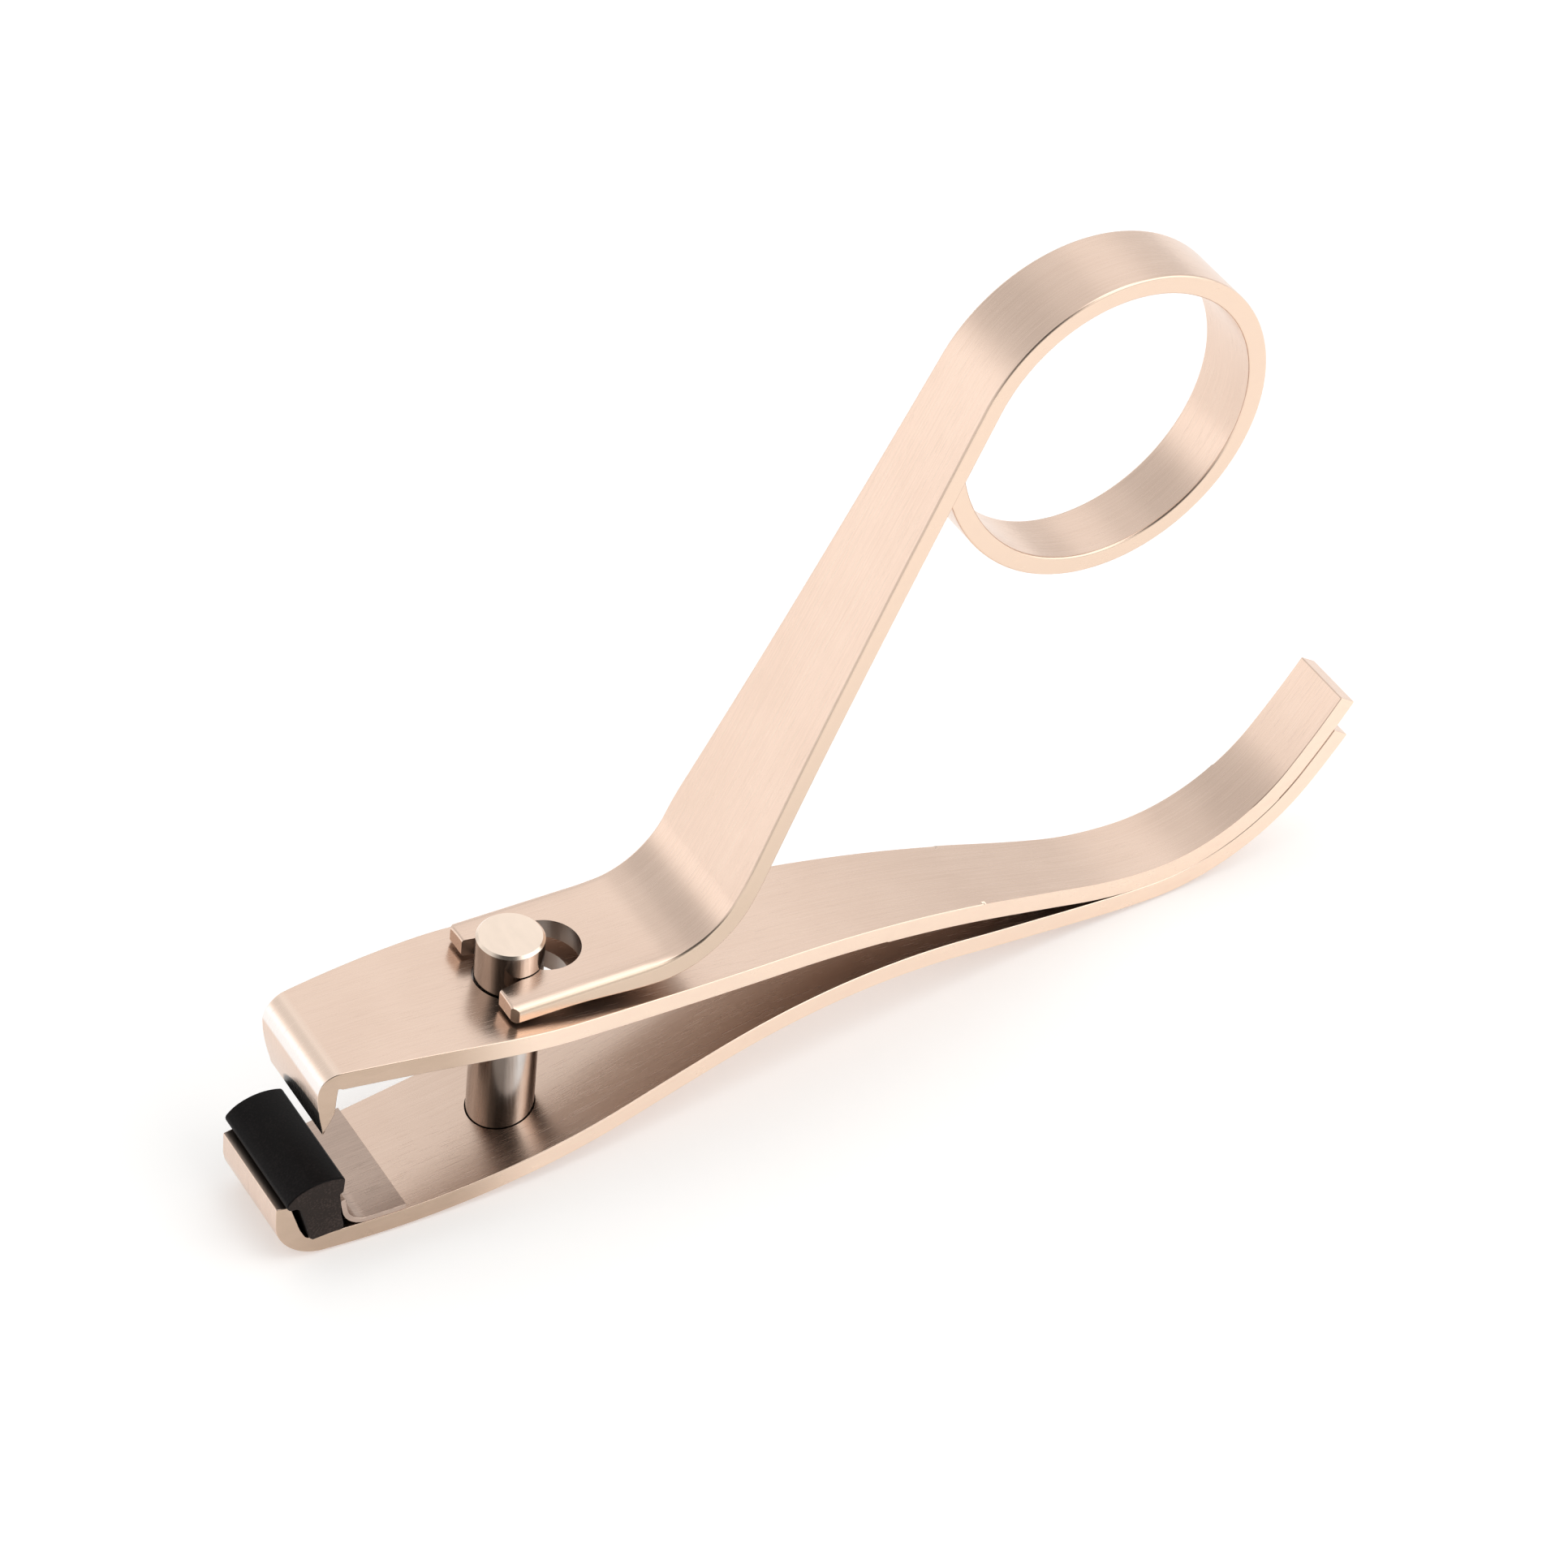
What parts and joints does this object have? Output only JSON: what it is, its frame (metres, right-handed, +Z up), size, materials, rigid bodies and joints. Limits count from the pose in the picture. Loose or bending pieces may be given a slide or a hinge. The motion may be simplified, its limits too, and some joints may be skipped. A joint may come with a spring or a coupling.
{
  "type": "nail clipper",
  "caption": "Leaf-spring nail clipper with a bent-down blade over a block anvil, a through pin and a bent lever that ends in a rolled finger ring.",
  "frame": {"origin": "middle of the footprint, on the table that the clipper rests on", "axes": "+X from the jaws to the tail, +Z up with the lever standing up, +Y across the clipper; the pin leans 4.14 degrees towards +X"},
  "size_m": [0.1016, 0.014, 0.0675],
  "materials": {
    "leaf_steel": "satin rose-gold brushed steel",
    "lever_steel": "satin rose-gold brushed steel",
    "pin_steel": "polished rose-gold steel",
    "anvil_block": "matt black"
  },
  "bodies": {
    "spring_base": {"lower_leaf": "leaf_steel", "upper_leaf_tail": "leaf_steel", "anvil": "anvil_block", "anvil_retainer": "leaf_steel"},
    "upper_jaw": {"upper_leaf_jaw": "leaf_steel"},
    "pin": {"pin": "pin_steel"},
    "lever": {"lever": "lever_steel"}
  },
  "joints": [
    {"name": "leaf_flex", "type": "hinge", "parent": "spring_base", "child": "upper_jaw", "pos_m": [0.02157, 0, 0.00475], "axis": [0, -1, 0], "range_deg": [0, 3.3], "stiffness_Nm_per_rad": 20},
    {"name": "pin_swivel", "type": "hinge", "parent": "spring_base", "child": "pin", "pos_m": [-0.02889, 0, 0.00033], "axis": [0.0722, 0, 0.9974], "range_deg": [-60, 60]},
    {"name": "lever_press", "type": "hinge", "parent": "pin", "child": "lever", "pos_m": [-0.02758, 0, 0.0184], "axis": [0, 1, 0], "range_deg": [0, 17]}
  ],
  "couplings": [
    {"joint": "leaf_flex", "follows": "lever_press", "ratio": 0.1941}
  ]
}
